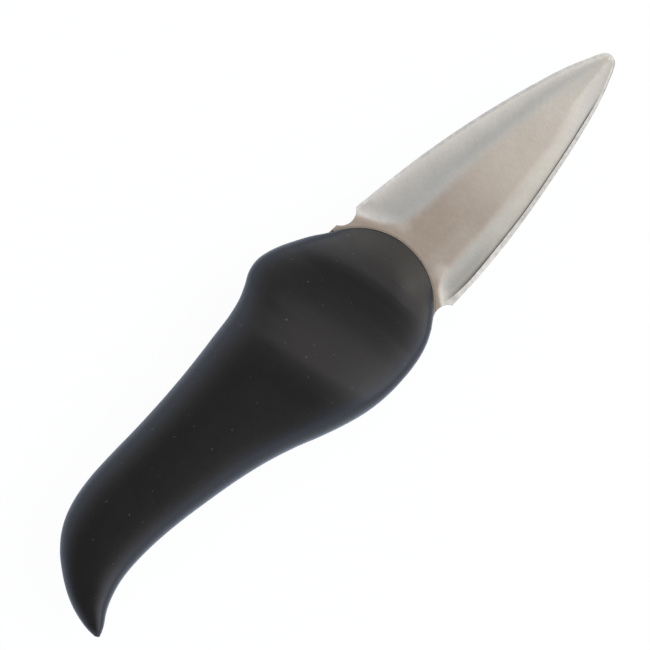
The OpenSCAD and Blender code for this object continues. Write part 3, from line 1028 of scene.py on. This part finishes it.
# Level of the world's light, and what each glow adds to it: bearing and tilt in degrees, the
# shares of the way towards them where it starts and is full, and its strength
TENT_LEVEL = 0.38
GLOWS = [
    (-16, 6, -0.12, 0.54, 0.93),
    (-59, -11, 0.12, 1.3, 1.6),
    (43, -17, 0.8, 1.23, 1.8),
    (88, -23, -0.1, 1.3, 1.1),
    (-154, -23, 0.5, 0.73, 0.5),
]
# Tints of that light near the floor, away from the nose and towards it, and overhead
LOW_TINTS = ((0.92, 1.03, 1.3), (1.1, 1.02, 0.9))
HIGH_TINT = (1.03, 0.99, 0.98)
LAMP_PLACE = (0.9, -0.45, 0.75)
LAMP_SIZE = 1.0
LAMP_POWER = 9
# The photo's width, how many of its pixels make a millimetre, and its turn in degrees
PHOTO_WIDTH = 650
PHOTO_SCALE = 3.9
PHOTO_TURN = 45.6
CAMERA_PLACE = (-0.0013, -0.00003)
CAMERA_DISTANCE = 0.8
SENSOR_WIDTH = 36


def add_piece(name, mesh, material, slot_name, *nodes):
    piece = bpy.data.objects.new(name, mesh)
    bpy.context.scene.collection.objects.link(piece)
    mesh.materials.append(material)
    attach(piece, "root")
    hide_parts(*nodes)


def dress_core():
    """Gives the two hidden core halves their plastic."""
    plastic = core_plastic()
    for node in ("core_upper_half", "core_lower_half"):
        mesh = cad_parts[node].data
        mesh.materials.clear()
        mesh.materials.append(plastic)


def add_stage():
    """A wide white floor under the knife."""
    mesh = bpy.data.meshes.new("floor")
    corners = [(x * FLOOR_HALF, y * FLOOR_HALF, 0) for x, y in ((-1, -1), (1, -1), (1, 1), (-1, 1))]
    mesh.from_pydata(corners, [], [(0, 1, 2, 3)])
    mesh.materials.append(floor_material())
    floor = bpy.data.objects.new("floor", mesh)
    floor.location.z = cad_box[0][2]
    bpy.context.scene.collection.objects.link(floor)


def glow(n, direction, bearing, tilt, start, full, strength):
    """Light that grows towards a bearing."""
    bearing, tilt = math.radians(bearing), math.radians(tilt)
    level = math.cos(tilt)
    towards = n.add("ShaderNodeVectorMath", operation="DOT_PRODUCT")
    n.link(direction, towards.inputs[0])
    towards.inputs[1].default_value = (
        math.cos(bearing) * level, math.sin(bearing) * level, math.sin(tilt)
    )
    return n.spread(towards.outputs["Value"], start, full, 0, strength, soft=True)


def add_world():
    """A soft tent round the knife: brightest past the nose and the -Y edge, weaker on the +Y side
    and past the tail, dim overhead, and plain white to the camera."""
    world = bpy.data.worlds.new("tent")
    bpy.context.scene.world = world
    world.use_nodes = True
    n = Nodes(world.node_tree)
    direction = n.add("ShaderNodeTexCoord").outputs["Generated"]
    level = TENT_LEVEL
    for row in GLOWS:
        level = n.math("ADD", level, glow(n, direction, *row))
    parts = n.parts(direction)
    low = n.mix(n.spread(parts["X"], 0.3, 0.9, 0, 1), *LOW_TINTS)
    tint = n.mix(n.spread(parts["Z"], 0, 0.75, 0, 1), low, HIGH_TINT)
    rays = n.add("ShaderNodeLightPath").outputs
    colour = n.mix(rays["Is Camera Ray"], n.scale(tint, level), (1, 1, 1))
    n.link(colour, world.node_tree.nodes["Background"].inputs[0])


def add_lamp():
    """One soft lamp past the nose, on the -Y side, that no glossy surface mirrors."""
    data = bpy.data.lights.new("key", "AREA")
    data.size = LAMP_SIZE
    data.energy = LAMP_POWER
    lamp = bpy.data.objects.new("key", data)
    bpy.context.scene.collection.objects.link(lamp)
    lamp.location = LAMP_PLACE
    lamp.rotation_euler = (-Vector(LAMP_PLACE)).to_track_quat("-Z", "Y").to_euler()
    lamp.visible_glossy = False


def add_camera():
    """Straight down over the knife, turned so that the blade points up to the right."""
    data = bpy.data.cameras.new("camera")
    camera = bpy.data.objects.new("camera", data)
    bpy.context.scene.collection.objects.link(camera)
    seen_width = PHOTO_WIDTH / PHOTO_SCALE * MM
    data.sensor_width = SENSOR_WIDTH
    data.lens = data.sensor_width * CAMERA_DISTANCE / seen_width
    data.clip_end = 10
    camera.location = (*CAMERA_PLACE, REST_HEIGHT * MM + CAMERA_DISTANCE)
    camera.rotation_euler = (0, 0, math.radians(-PHOTO_TURN))
    bpy.context.scene.camera = camera


add_piece("blade_steel", make_blade(), steel(), "steel", "blade")
add_piece("soft_grip", make_grip(), soft_grip(), "soft_grip", "grip_skin")
dress_core()
add_stage()
add_world()
add_lamp()
add_camera()
bpy.context.scene.view_settings.view_transform = "Standard"
